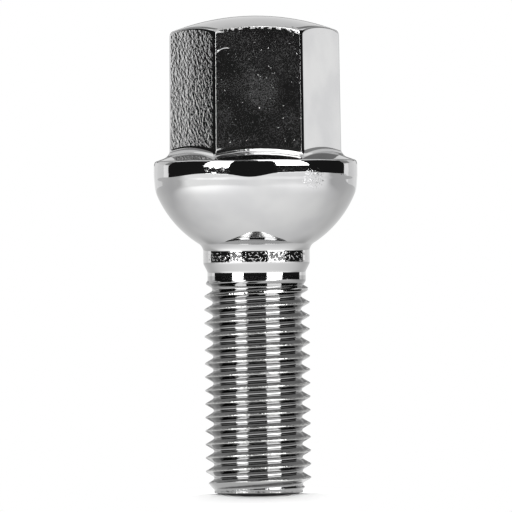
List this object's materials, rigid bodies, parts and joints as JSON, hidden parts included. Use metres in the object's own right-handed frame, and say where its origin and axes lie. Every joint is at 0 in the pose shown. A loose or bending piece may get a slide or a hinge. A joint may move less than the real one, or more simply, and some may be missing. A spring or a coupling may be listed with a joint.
{
  "type": "lug bolt",
  "caption": "Chrome-plated wheel bolt: domed hexagon head over a collar with a spherical seat, short plain neck and a right-hand metric thread.",
  "frame": {"origin": "centre of the flat end face of the thread, which the bolt stands on", "axes": "+Z runs along the bolt's axis from the thread's end to the domed head; -Y is the side that the picture shows, with one hexagon flat turned 2.6 degrees from it towards +X"},
  "size_m": [0.0228, 0.0228, 0.0533],
  "materials": {
    "chrome_plate": "bright chrome plate over rolled and forged steel, slightly worn"
  },
  "bodies": {
    "root": {"lug_bolt": "chrome_plate"}
  },
  "joints": []
}
